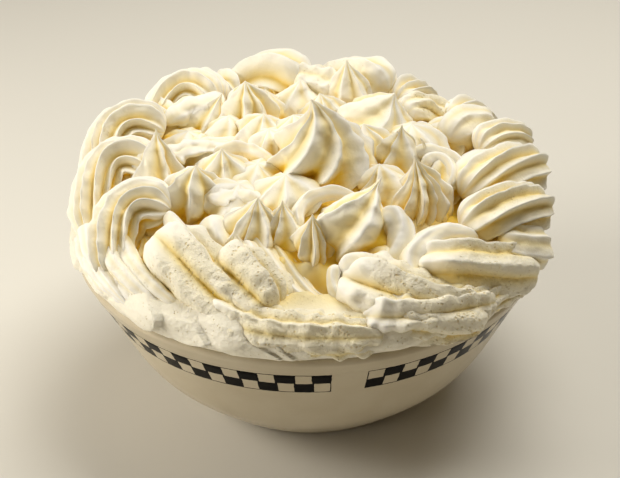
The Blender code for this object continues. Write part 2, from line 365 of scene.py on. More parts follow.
@dataclass(frozen=True)
class IvoryGlaze:
    """Ivory tin glaze on stoneware, dipped and fired.

    It gives the eye a warm, slightly mottled body colour under a smooth clear gloss, with the band of
    black squares fired under the same gloss.
    """

    body: str = "#D2C8B2"
    mottle: str = "#C3B69C"
    ink: str = "#060404"
    roughness: float = 0.22
    specular: float = 0.04
    mottle_length: float = 14.0
    ripple_length: float = 5.0
    ripple_height: float = 0.25
    ripple_strength: float = 0.25
    band: CheckerBand = field(default_factory=CheckerBand)

    def band_mask(self, art: Surface) -> Socket:
        """Work out where the band is black from the azimuth and the height.

        The azimuth from the start of a run, divided by a square's width, gives the column; the height
        gives the row. A square is black where column plus row is even, and so is each outline.

        Args:
            art: The material.

        Returns:
            A socket that is 1 on ink and 0 elsewhere.
        """
        band, maths = self.band, art.maths
        turn = 360.0 / band.runs
        width = (turn - band.gap) / band.squares
        edge = band.line / (radians(width) * band.radius)
        shake = maths("MULTIPLY_ADD", art.noise(band.shake_length), 2.0 * band.shake, -band.shake)
        split = art.node("SeparateXYZ", {"Vector": art.place()})
        azimuth = maths("ARCTAN2", split.outputs["Y"], split.outputs["X"])
        from_start = maths("MULTIPLY_ADD", azimuth, 180.0 / pi, 720.0 - band.start)
        along = maths("ADD", maths("DIVIDE", maths("MODULO", from_start, turn), width), shake)
        level = maths("MULTIPLY_ADD", shake, band.shake_height,
                      maths("MULTIPLY", split.outputs["Z"], 1.0 / MM))
        foot, middle, top = band.levels
        on_run = maths("MULTIPLY", maths("LESS_THAN", along, float(band.squares)),
                       maths("GREATER_THAN", along, 0.0))
        in_band = maths("MULTIPLY", maths("GREATER_THAN", level, foot), maths("LESS_THAN", level, top))
        row = maths("GREATER_THAN", level, middle)
        black = maths("LESS_THAN", maths("MODULO", maths("ADD", maths("FLOOR", along), row), 2.0), 0.5)
        share = maths("FRACT", along)
        near_side = maths("MAXIMUM", maths("LESS_THAN", share, edge),
                          maths("GREATER_THAN", share, 1.0 - edge))
        near_foot = maths("LESS_THAN", level, foot + band.line)
        near_top = maths("GREATER_THAN", level, top - band.line)
        outline = maths("MAXIMUM", near_side, maths("MAXIMUM", near_foot, near_top))
        return maths("MULTIPLY", maths("MULTIPLY", on_run, in_band), maths("MAXIMUM", black, outline))

    def material(self) -> Material:
        """Build the glaze: mottled body colour, ink, soft ripples and a smooth gloss."""
        art = Surface("ivory glazed stoneware")
        body = art.mix(art.noise(self.mottle_length, Detail=5.0), linear(self.body), linear(self.mottle))
        ripple = art.noise(self.ripple_length, Detail=3.0)
        return art.finish(Base_Color=art.mix(self.band_mask(art), body, linear(self.ink)),
                          Normal=art.bump(ripple, self.ripple_strength, self.ripple_height),
                          Roughness=self.roughness, Specular_IOR_Level=self.specular)


@dataclass(frozen=True)
class WhippedCream:
    """Sweetened whipped cream, piped: a fat foam that scatters light just under its surface.

    It gives the eye a warm near-white on the ridges, with painted shade that deepens to butter yellow in the
    grooves, crevices and bubble pits, where shade and light bounced inside the cream would fall, a soft satin
    sheen, a faint grain, and burst bubbles where the nozzle or spatula tore it.
    """

    # ridge, slope and groove are the stops of a ramp of painted shade: the cream's near-white on the ridges
    # down to the butter yellow painted into grooves and crevices
    ridge: str = "#FBF8F0"
    slope: str = "#F7E8B8"
    groove: str = "#F6D24C"
    # pit is painted shade: the darker yellow put into the burst bubbles' pits
    pit: str = "#E6D3A0"
    roughness: float = 0.45
    ior: float = 1.45
    grain_length: float = 1.6
    bubble_spacing: float = 1.5
    bubble_size: float = 0.62
    bubble_rim: float = 0.001
    crowd_length: float = 5.0
    crowd_range: tuple[float, float] = (0.34, 0.68)
    pit_depth: float = 0.42
    relief: float = 0.9
    slope_stop: float = 0.45
    scatter: float = 0.2
    scatter_reach: Point = (1.4, 1.3, 1.0)

    def material(self) -> Material:
        """Build the cream from its attributes: the painted-shade share darkens grooves and crevices to butter
        yellow, airy opens the bubbles.
        """
        art = Surface("piped whipped cream")
        painted_shade, airy = (art.node("Attribute", attribute_name=name).outputs["Fac"]
                        for name in ("painted_shade", "airy"))
        # Painted shade: the ramp turns the painted-shade share into colour.
        tint = art.node("ValToRGB", {"Fac": painted_shade})
        stops = tint.color_ramp.elements
        stops[0].color, stops[1].color = linear(self.ridge), linear(self.groove)
        stops.new(self.slope_stop).color = linear(self.slope)
        bubble = art.node("TexVoronoi", {"Vector": art.place(), "Scale": 1.0 / (self.bubble_spacing * MM),
                                         "Randomness": 1.0})
        few, many = self.crowd_range
        dense = art.node("MapRange", {"Value": art.noise(self.crowd_length), "From Min": few,
                                      "From Max": many, "To Max": self.bubble_size})
        reach = art.maths("MULTIPLY_ADD", airy, dense.outputs[0], self.bubble_rim)
        pit = art.node("MapRange", {"Value": bubble.outputs["Distance"], "From Min": 0.0, "From Max": reach,
                                    "To Min": 1.0, "To Max": 0.0}, interpolation_type="SMOOTHSTEP").outputs[0]
        rough = art.maths("MULTIPLY", art.noise(self.grain_length, Detail=6.0, Roughness=0.6), airy)
        low = art.maths("MULTIPLY_ADD", pit, -self.pit_depth, rough)
        # Painted shade in the bubble pits: the pit colour is mixed in where the bubbles dent the surface.
        return art.finish(Base_Color=art.mix(pit, tint.outputs[0], linear(self.pit)),
                          Normal=art.bump(low, 1.0, self.relief), Roughness=self.roughness, IOR=self.ior,
                          Subsurface_Weight=self.scatter, Subsurface_Radius=self.scatter_reach,
                          Subsurface_Scale=MM)


# ---------------- the bowl


@dataclass
class Bowl:
    """Heavy turned bowl with a recessed foot, a bellied wall and a thick lip above the band."""

    rim_radius: float = 95.0
    rim_height: float = 70.0
    lip: tuple[float, float] = (92.1, 61.9)
    foot_radius: float = 49.3
    foot_pull: tuple[float, float] = (31.0, 28.5)
    lip_pull: tuple[float, float] = (19.6, 40.3)
    wall: float = 4.5
    floor: float = 7.0
    foot_wall: float = 5.0
    foot_recess: float = 2.5
    segments: int = 384
    steps: int = 44

    def curve(self, steps: int) -> tuple[Array, Array]:
        """One cubic curve from foot to lip, and its inward normals.

        Args:
            steps: How many steps the curve is cut into.

        Returns:
            The points (radius, height) and the unit normals.
        """
        start, end = np.array([self.foot_radius, 0.0]), np.array(self.lip)
        low, high = start + np.array(self.foot_pull), end - np.array(self.lip_pull)
        t = np.linspace(0.0, 1.0, steps + 1)[:, None]
        points = ((1 - t) ** 3 * start + 3 * (1 - t) ** 2 * t * low + 3 * (1 - t) * t ** 2 * high
                  + t ** 3 * end)
        slope = (3 * (1 - t) ** 2 * (low - start) + 6 * (1 - t) * t * (high - low)
                 + 3 * t ** 2 * (end - high))
        return points, unit(np.column_stack([-slope[:, 1], slope[:, 0]]))

    def inner(self, clearance: float = 0.0) -> Array:
        """The inside of the wall from floor to lip, moved further in by a clearance."""
        points, normal = self.curve(self.steps)
        inside = points + normal * (self.wall + clearance)
        return inside[inside[:, 1] > self.floor + clearance + 1.0]

    def profile(self) -> Array:
        """The whole section from the middle of the underside, over the lip, to the middle of the floor."""
        outside, _ = self.curve(self.steps)
        foot_in = self.foot_radius - self.foot_wall
        under = [(6.0, self.foot_recess), (foot_in - 3.0, self.foot_recess), (foot_in - 0.9, 1.3),
                 (foot_in - 0.3, 0.25), (foot_in + 0.4, 0.0), (self.foot_radius - 0.7, 0.0),
                 (self.foot_radius + 0.15, 0.3)]
        lip_radius, lip_height = self.lip
        crease = [(lip_radius + 0.05, lip_height + 0.5), (lip_radius + 0.75, lip_height + 1.1)]
        rounding = np.radians(np.linspace(-10.0, 170.0, 15))
        centre, bend = self.rim_radius - 2.0, 2.0
        over = np.column_stack([centre + bend * np.cos(rounding),
                                self.rim_height - bend + bend * np.sin(rounding)])
        rise = np.linspace(0.2, 0.85, 5)[:, None]
        side = (1 - rise) * np.array(crease[-1]) + rise * over[0]
        inside = self.inner()[::-1]
        ground = [(inside[-1][0] - 5.0, self.floor), (6.0, self.floor)]
        return np.concatenate([under, outside[1:], crease, side, over, inside, ground])

    def build(self, finish: Material) -> None:
        """Turn the section round Z and replace the plain bowl with it."""
        rings = turned(self.profile(), self.segments)
        flat = np.zeros(rings.shape[:2])
        skin = Skin(rings, on_axis(self.foot_recess), on_axis(self.floor), flat, flat)
        piece = make_piece("bowl_turned", [skin], finish)
        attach(piece, "root")
        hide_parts("bowl")


# ---------------- the cream


@dataclass
class Heap:
    """The spread cream: it fills the bowl, laps over the lip and domes up under the piping.

    The patches are strokes of the spatula: flat places that stand a little proud, with a torn edge.
    """

    bowl: Bowl
    gap: float = 0.25
    dome_height: float = 98.0
    dome_fall: float = 0.0026
    dome_radius: float = 64.0
    rear_rise: float = 0.06
    skirt_edge: float = 94.2
    skirt_foot: float = 70.15
    ledge: tuple[float, float] = (73.0, 84.7)
    middle_ring: float = 4.0
    bulge_azimuth: float = 190.0
    bulge: float = 0.2
    bare_azimuth: float = -28.0
    bare_width: float = 20.0
    bare_depth: float = 3.5
    pits: tuple[tuple[float, float, float, float], ...] = ((1.0, -65.0, 3.2, 7.0), (7.0, -69.0, 5.0, 9.0))
    patches: tuple[tuple[float, float, float, float, float], ...] = (
        (-133.0, 77.5, 9.0, 6.5, 4.2), (-120.0, 75.5, 8.0, 5.0, 3.6), (-106.0, 74.0, 8.5, 4.0, 3.0),
        (-148.0, 79.0, 9.0, 6.0, 2.2))
    loose_patches: int = 34
    segments: int = 640
    skirt_rings: int = 64
    dome_rings: int = 40

    def dome(self, x: Array, y: Array) -> Array:
        """Top of the heap inside the skirt: a low dome that stands a little higher at the rear."""
        radius = np.minimum(np.hypot(x, y), self.dome_radius)
        return self.dome_height - self.dome_fall * radius ** 2 + self.rear_rise * y

    def stand_out(self, azimuth: Array) -> tuple[Array, Array]:
        """How far the skirt bulges on the left, and how far it draws back from the bare rim."""
        bulge = self.bulge * np.cos(np.radians(azimuth - self.bulge_azimuth)).clip(0.0)
        away = apart(azimuth, self.bare_azimuth)
        return bulge, self.bare_depth * np.exp(-(away / self.bare_width) ** 2)

    def skin(self) -> Skin:
        """Rings from the bowl's floor up the inside, out over the lip, up the skirt and over the dome."""
        angle = full_turn(self.segments)
        inside = self.bowl.inner(self.gap)[::6]
        neck = (self.bowl.rim_radius - self.bowl.wall - 1.5, self.skirt_foot)
        under = np.concatenate([[(inside[0][0] - 5.0, self.bowl.floor + self.gap)], inside, [neck]])
        filling = turned(under, self.segments)
        bulge, drawn = self.stand_out(np.degrees(angle))
        edge, foot = self.skirt_edge, self.skirt_foot
        # radius, height and share of the bulge, from the skirt's foot up to the ledge
        keys = np.array([[edge - 1.2, foot, 0.15], [edge, foot + 0.5, 0.2], [edge + 0.7, 72.5, 0.5],
                         [edge + 0.9, 74.5, 0.8], [edge, 77.5, 1.0], [92.0, 80.5, 0.9], [88.0, 83.0, 0.8],
                         [82.0, 84.0, 0.4], [74.0, 84.5, 0.0]])
        share = np.linspace(0.0, 1.0, len(keys))
        fine = np.linspace(0.0, 1.0, self.skirt_rings)
        radius, level, part = (np.interp(fine, share, keys[:, k]) for k in range(3))
        out = radius[:, None] + part[:, None] * bulge - drawn * (1.0 - 0.6 * fine[:, None])
        height = level[:, None] + 0.0 * angle
        skirt = np.stack([out * np.cos(angle), out * np.sin(angle), height], axis=-1)
        patch = self.strokes(np.degrees(angle), level)
        ragged = Relief(5.0, 0.5, 31).at(skirt) * (1.0 - eased(0.0, 0.12, fine))[:, None]
        push = patch + ragged + Relief(20.0, 0.5, 32, (1, 1, 1.6)).at(skirt) + Relief(3.0, 0.05, 33).at(skirt)
        push[0] *= 0.4
        outward = np.stack([np.cos(angle), np.sin(angle), 0.35 + 0.0 * angle], axis=-1)
        skirt = skirt + push[..., None] * outward
        skirt[..., 2] = np.maximum(skirt[..., 2], self.skirt_foot)
        ledge_radius, ledge_height = self.ledge
        reach = np.linspace(ledge_radius, self.middle_ring, self.dome_rings)[:, None]
        x, y = reach * np.cos(angle), reach * np.sin(angle)
        blend = eased(self.dome_radius, ledge_radius, reach)
        crown = np.stack([x, y, self.dome(x, y) * (1 - blend) + ledge_height * blend], axis=-1)
        crown[..., 2] += Relief(9.0, 0.8, 34).at(crown)
        for pit_x, pit_y, size, deep in self.pits:
            crown[..., 2] -= deep * np.exp(-((x - pit_x) ** 2 + (y - pit_y) ** 2) / size ** 2)
        rings = np.concatenate([filling, skirt, crown])
        # Painted shade: half strength on the dome, which shows in the gaps between the piping, and on the
        # skirt, growing towards its top under the ledge.
        painted_shade = np.zeros(rings.shape[:2])
        painted_shade[-self.dome_rings:] = 0.5
        painted_shade[len(filling):-self.dome_rings] = 0.16 + 0.4 * eased(0.75, 1.0, fine)[:, None]
        airy = np.zeros(rings.shape[:2])
        airy[len(filling):-self.dome_rings] = 0.5
        return Skin(rings, on_axis(self.bowl.floor + self.gap), on_axis(self.dome_height), painted_shade, airy)

    def strokes(self, azimuth: Array, level: Array) -> Array:
        """Patches that the spatula left: each a tilted oval whose torn edge stands about a millimetre proud.

        Args:
            azimuth: The azimuths of the grid in degrees.
            level: The heights of the grid's rows.

        Returns:
            How far each point (level, azimuth) is pushed out.
        """
        draw = np.random.default_rng(5)
        total = np.zeros((len(level), len(azimuth)))
        grid = np.stack(np.broadcast_arrays(azimuth[None, :], level[:, None], 0.0), axis=-1)
        torn = Relief(9.0, 0.22, 36).at(grid)
        count = self.loose_patches
        loose = [(k * 360.0 / count + draw.uniform(-4.0, 4.0), draw.uniform(72.0, 80.0),
                  draw.uniform(6.0, 12.0), draw.uniform(4.0, 8.0), draw.uniform(1.3, 2.8))
                 for k in range(count)]
        for middle, height, long, tall, proud in (*self.patches, *loose):
            lean = draw.uniform(-0.4, 0.0)
            across = apart(azimuth[None, :], middle)
            up = level[:, None] - height - lean * across
            far = (across / long) ** 2 + (up / tall) ** 2 + torn
            slope = 0.55 + 0.45 * np.clip(across / long, -1.0, 1.0)
            total = np.maximum(total, proud * slope * (1.0 - eased(0.85, 1.0, far)))
        return total


@dataclass(frozen=True)
class Ribs:
    """The star section that the nozzle leaves.

    Attributes:
        count: Ridges round the rope.
        depth: Share of the radius that a groove is sunk.
        sharp: Under 1 the ridges are sharp and the hollows broad.
        uneven: How much the ridges differ in size.
        shift: How much the ridges are spaced unevenly.
        skew: How far each ridge leans over its neighbour.
        seed: Picks the unevenness.
        rough: Factor on the uneven relief.
        broad: How much broader the ridges are on one side than on the other.
        broad_at: Angle of the broadest ridge in radians.
        pillow: 0 for sharp ridges with broad hollows, to 1 for round ridges with crisp grooves.
    """

    count: int
    depth: float
    sharp: float
    uneven: float
    shift: float
    skew: float
    seed: int
    rough: float
    broad: float = 0.0
    broad_at: float = 2.6
    pillow: float = 0.0

    def carried(self, spine: Array, side: Array, width: Array, depth: Array, turn: Array,
                around: int, wide: float = 1.0) -> tuple[Array, Array]:
        """Carry the star section along a spine.

        The radius is width * lobe size * (1 - depth * groove). The groove is |sin(w / 2)| ^ sharp, mixed by
        pillow with 1 - |cos(w / 2)|, both with softened cusps. There w counts the ridges: count * (angle -
        broad * sin(angle - broad_at)), skewed by 1 - cos w.

        Args:
            spine: Centre line (rings, 3).
            side: Sideways direction at each ring (rings, 3).
            width: Half width at each ring.
            depth: Factor on the depth of the grooves at each ring.
            turn: Twist at each ring in radians.
            around: Points round the section.
            wide: Sideways width as a share of the upright one.

        Returns:
            The points (rings, around, 3), and the share of painted shade in the grooves (rings, around).
        """
        draw = np.random.default_rng(self.seed + 100)
        angle = full_turn(around)
        knots = np.arange(self.count + 1) * 2.0 * pi / self.count
        size = draw.normal(1.0, self.uneven, (2, self.count))
        place = draw.normal(0.0, self.shift, (2, self.count))
        share = np.linspace(0.0, 1.0, len(width))[:, None]
        lobes = [np.interp(angle, knots, np.append(row, row[0])) for row in (*size, *place)]
        lobe = lobes[0] * (1.0 - share) + lobes[1] * share
        moved = (lobes[2] * (1.0 - share) + lobes[3] * share) * 2.0 * pi / self.count
        w = self.count * (angle - self.broad * np.sin(angle - self.broad_at) - self.broad_at)
        w = w + self.skew * (1.0 - np.cos(w))
        groove = (1.0 - self.pillow) * (np.sin(w / 2.0) ** 2 + 0.005) ** (self.sharp / 2.0)
        groove = groove + self.pillow * (1.0 - np.sqrt(np.cos(w / 2.0) ** 2 + 0.004))
        radius = width[:, None] * lobe * (1.0 - self.depth * depth[:, None] * groove)
        forward = unit(np.gradient(spine, axis=0))
        upper = unit(np.cross(forward, side))
        across = np.cross(upper, forward)
        way = angle + moved + turn[:, None]
        direction = wide * np.cos(way)[..., None] * across[:, None] + np.sin(way)[..., None] * upper[:, None]
        points = spine[:, None] + radius[..., None] * direction
        uneven = Relief(8.0, 0.42, self.seed + 1).at(points) + Relief(3.5, 0.08, self.seed + 2).at(points)
        uneven *= self.rough * np.clip(width / 6.0, 0.0, 1.0)[:, None]
        # Painted shade in the grooves: strongest at a groove's bottom and where the grooves are sunk deeper.
        sunk = (self.depth / 0.4 * np.clip(depth, 0.0, 1.0))[:, None]
        painted_shade = np.broadcast_to(groove.clip(0.0) ** 2.5, radius.shape) * sunk
        return points + uneven[..., None] * direction, painted_shade


@dataclass(frozen=True)
class Kiss:
    """A kiss: a star of cream pressed down, then drawn up to a leaning, twisted point.

    Its depth and skew are those of its Ribs.

    Attributes:
        x: Place of its base.
        y: Place of its base.
        radius: Half width of its base.
        height: Rise of its point above the heap.
        lean: How far the point stands to the right of the base.
        lean_y: How far the point stands behind the base.
        lobes: Ridges round it.
        twist: Turn of the ridges from base to point in degrees.
        first: Azimuth of the first ridge at the base.
        full: How long the body stays wide: 1 for a tent, 3 for an onion.
        thin: How thin it is drawn towards the point.
        curl: Bend of the point to the right in millimetres.
        airy: How full of burst bubbles it is.
        bow: How far the ridges bow sideways at half height in degrees.
        sunk: How far its base lies under the heap.
        deeper: What is added to the depth of the grooves.
        rings: Rings from base to point.
        per_lobe: Points across each ridge.
    """

    x: float
    y: float
    radius: float
    height: float
    lean: float = 0.0
    lean_y: float = 0.0
    lobes: int = 6
    twist: float = 20.0
    first: float = 0.0
    full: float = 2.0
    thin: float = 1.6
    depth: float = 0.32
    skew: float = -0.7
    curl: float = 0.0
    airy: float = 0.0
    bow: float = 14.0
    sunk: float = 5.0
    deeper: float = 0.03
    rings: int = 60
    per_lobe: int = 20

    def skin(self, heap: Heap, seed: int) -> Skin:
        """Rings up the kiss.

        The half width is radius * (1 - u ^ full) ^ thin at the share u of its rise, drawn in below.

        Args:
            heap: What it stands on.
            seed: Picks its unevenness.

        Returns:
            The closed skin.
        """
        rise = np.linspace(0.0, 1.0, self.rings)
        rise = 0.992 * (rise + 0.10 * np.sin(2.0 * pi * rise) / pi)
        base = float(heap.dome(np.array(self.x), np.array(self.y))) - self.sunk
        height = self.height + self.sunk
        bend = rise ** 2
        hook = rise ** 7 * self.curl
        spine = np.column_stack([self.x + self.lean * bend + hook, self.y + self.lean_y * bend,
                                 base + height * rise])
        foot = 0.70 + 0.30 * eased(0.0, 0.35, rise)
        width = self.radius * foot * (1.0 - rise ** self.full) ** self.thin + 0.25
        depth = (0.35 + 0.65 * eased(0.0, 0.25, rise)) * (1.0 - 0.5 * eased(0.85, 1.0, rise))
        turn = radians(self.first) + radians(self.twist) * rise ** 0.9 + radians(self.bow) * np.sin(pi * rise)
        ribs = Ribs(self.lobes, self.depth + self.deeper, sharp=0.6, uneven=0.19, shift=0.26,
                    skew=self.skew, seed=seed * SEED_STEP, rough=1.2)
        side = np.tile([1.0, 0.0, 0.0], (len(rise), 1))
        rings, painted_shade = ribs.carried(spine, side, width, depth, turn, self.lobes * self.per_lobe)
        rings[..., 2] = np.maximum(rings[..., 2], heap.skirt_foot)
        airy = np.full(painted_shade.shape, max(self.airy, 0.25))
        # Painted shade from the grooves, at three quarters strength on a kiss.
        return Skin(rings, spine[0], spine[-1] + on_axis(0.4), painted_shade * 0.75, airy)


@dataclass(frozen=True)
class Shell:
    """A shell: a thick ribbed rope that swells from its head, arches over and thins to its tail.

    Its depth, skew, rough, broad, broad_at and pillow are those of its Ribs.

    Attributes:
        path: Places that its centre line passes, from head to tail.
        thick: Half width near the head.
        taper: Width of the tail as a share.
        lobes: Ridges round the rope.
        airy: How full of burst bubbles its outside is.
        first: Angle of the first ridge in radians.
        twist: Turn of the ridges from head to tail in radians.
        wide: Sideways half width as a share of the upright one.
        blunt: Share of the length over which the tail closes.
        rings: Rings from head to tail, about half a millimetre apart.
        per_lobe: Points across each ridge.
    """

    path: tuple[Point, ...]
    thick: float
    taper: float = 0.7
    lobes: int = 12
    depth: float = 0.48
    skew: float = 0.45
    airy: float = 0.3
    first: float = 0.2
    twist: float = 0.25
    wide: float = 1.0
    blunt: float = 0.22
    rough: float = 0.6
    broad: float = 0.0
    pillow: float = 0.0
    broad_at: float = 2.6
    rings: int = 96
    per_lobe: int = 15

    def spine(self) -> Array:
        """Centre line: the polynomial through the path's places, by Lagrange's formula on their spacing.

        Returns:
            The points (rings, 3).
        """
        places = np.array(self.path, dtype=float)
        reach = distance_along(places)
        knots, t = reach / reach[-1], np.linspace(0.0, 1.0, self.rings)
        line = np.zeros((self.rings, 3))
        for here, place in enumerate(places):
            others = np.delete(knots, here)
            line += (np.prod((t[:, None] - others) / (knots[here] - others), axis=1))[:, None] * place
        return line

    def skin(self, heap: Heap, seed: int) -> Skin:
        """Rings along the rope, kept above the rim.

        The half width follows a quarter circle over the head, falls evenly to the tail and closes there
        by another quarter circle.

        Args:
            heap: What it lies on.
            seed: Picks its unevenness.

        Returns:
            The closed skin.
        """
        spine = self.spine()
        forward = np.gradient(spine, axis=0)
        side = np.column_stack([-forward[:, 1], forward[:, 0], 0.0 * forward[:, 2]])
        walked = distance_along(spine)
        share = walked / walked[-1]
        near = np.clip(walked / (0.85 * self.thick), 0.015, 1.0)
        swell = np.sqrt(1.0 - (1.0 - near) ** 2)
        tail = ((share - 1.0 + self.blunt) / self.blunt).clip(0.0)
        close = np.sqrt(np.clip(1.0 - tail ** 2, 0.01, 1.0))
        width = self.thick * swell * (1.0 + (self.taper - 1.0) * share) * close
        depth = 0.4 + 0.6 * eased(0.0, 0.8 * self.thick, walked)
        depth = depth * (1.0 - 0.35 * eased(0.75, 1.0, share))
        turn = self.first + self.twist * share
        ribs = Ribs(self.lobes, self.depth, sharp=0.8, uneven=0.07, shift=0.12, skew=self.skew,
                    seed=seed * SEED_STEP, rough=self.rough, broad=self.broad, broad_at=self.broad_at,
                    pillow=self.pillow)
        around = self.lobes * self.per_lobe
        rings, painted_shade = ribs.carried(spine, side, width, depth, turn, around, self.wide)
        rings[..., 2] = np.maximum(rings[..., 2], heap.skirt_foot)
        airy = self.airy * eased(0.05, 0.4, share)[:, None] + np.zeros_like(painted_shade)
        end = np.append(spine[-1, :2], max(spine[-1, 2], heap.skirt_foot))
        # Painted shade from the grooves at 0.8, with a little more of it where the cream is bubbly.
        return Skin(rings, spine[0], end, painted_shade * 0.8 + 0.22 * airy, airy)


def strand(thick: float, *path: Point, wide: float = 1.0, airy: float = 0.0,
           rough: float = 0.7) -> Shell:
    """A smooth strand or lip of cream: a thin rope with faint ribs and drawn-out ends.

    Args:
        thick: Half width.
        path: Places that its centre line passes.
        wide: Sideways half width as a share of the upright one.
        airy: How full of burst bubbles it is.
        rough: Factor on the uneven relief.

    Returns:
        The strand.
    """
    return Shell(path, thick, 0.75, 5, 0.12, 0.3, airy, wide=wide, blunt=0.4, rough=rough, rings=80,
                 per_lobe=12)


# x, y, radius, height, lean, lean_y, lobes, twist, first, full, thin, depth, skew, curl and airy
KISSES = tuple(Kiss(*row) for row in (
    (4, -5, 24, 31, 0, 0, 8, 75, -130, 2.3, 1.5, 0.34, -0.4, -3),
    (1, -51, 9, 16, 0, 0, 7, 12, 0, 3, 1.7, 0.42),
    (-21, -42, 15, 16, 2, 2, 9, 12, 10, 3.2, 1.6, 0.36),
    (-10, -42, 10, 14, 0, 1, 6, 15, 40, 3, 1.9, 0.36),
    (-45, -21, 14, 19, 2, 0, 7, 10, 5, 4.5, 1.4, 0.42),
    (-60, -6, 17, 25, 0, 9, 7, 12, 20, 2.8, 1.8, 0.42),
    (-42, 42, 17, 18, 6, 0, 6, 30, 10, 2.2, 1.6, 0.34),
    (-25, 41, 14, 21, -1, 0, 6, 14, 25, 4.4, 1.5, 0.42),
    (17, 57, 13, 24, 0, 2, 6, 15, 15, 4, 1.8),
    (27, 31, 19, 18, 9, 0, 5, 40, 0, 3.4, 1.5, 0.25),
    (43, -23, 16.5, 22, -3, 1, 11, 12, 10, 2.2, 1.7, 0.42),
    (16, -46, 20, 21, 11, 12, 5, 110, 130, 3.2, 2.2, 0.36, -0.5),
    (-34, -6, 15, 14, 0, 0, 6, 20, 30, 3, 1.6),
    (-20, -9, 14, 7, 0, 0, 6, 50, 0, 4, 1, 0.22),
    (54, -8, 14, 13, -3, 3, 4, 150, 20, 3, 1.1, 0.4),
    (36, 3, 13, 18, 1, 0, 6, 30, 0, 3, 1.9),
    (-3, 58, 17, 15, 0, 0, 6, 30, 0, 3, 1.3, 0.22),
    (8, 36, 16, 15, -3, 0, 6, 40, 20, 3, 1.4),
    (54, 34, 18, 7, -5, 0, 6, 60, 0, 4, 1, 0.22),
    (-43, 14, 17, 9, -1, 0, 6, 60, 0, 4, 1, 0.25),
    (-29, -23, 16, 9, 2, 0, 6, 40, 0, 4, 0.9, 0.18),
    (-4, 17, 18, 13, -2, 0, 6, 60, 0, 3.4, 1.2),
    (-20, 23, 18, 12, 2, 0, 6, 60, 30, 3.4, 1.2),
    (22, 10, 16, 13, 0, 0, 6, 60, 10, 3.4, 1.3),
    (42, 18, 17, 12, 0, 0, 6, 60, 40, 3.4, 1, 0.22),
    (-9, -22, 16, 10, 0, 0, 6, 50, 20, 3.4, 1.1, 0.25),
    (27, -17, 15, 12, 0, 0, 6, 60, 20, 3.4, 1.2),
    (28, -56, 13, 8, 0, 0, 6, 30, 20, 3.4, 1, 0.2),
    (-18, 66, 14, 12, 0, 0, 6, 30, 0, 3, 1.2, 0.25),
    (-27, -53, 8, 12, 0, 0, 5, 20, 20, 2.4, 1.6, 0.3, -0.7, 0, 0.6),
    (-50, 28, 15, 8, 0, 0, 6, 40, 20, 4, 1, 0.22),
    (-70, 5, 11, 8, 0, 0, 6, 20, 0, 4, 1, 0.2),
    (-56, 42, 12, 9, 0, 0, 6, 30, 0, 4, 1, 0.22),
    (-47, 56, 9, 9, 0, 0, 6, 30, 10, 4, 1, 0.2),
    (-16, 14, 12, 9, 0, 0, 6, 40, 0, 4, 1, 0.2),
    (-33, 31, 13, 10, 0, 0, 6, 40, 15, 4, 1, 0.2),
    (-63, -39, 10, 4, 0, 0, 6, 30, 10, 4, 1, 0.22),
    (-17, 52, 13, 12, 0, 0, 6, 40, 20, 3.4, 1.2, 0.25),
))

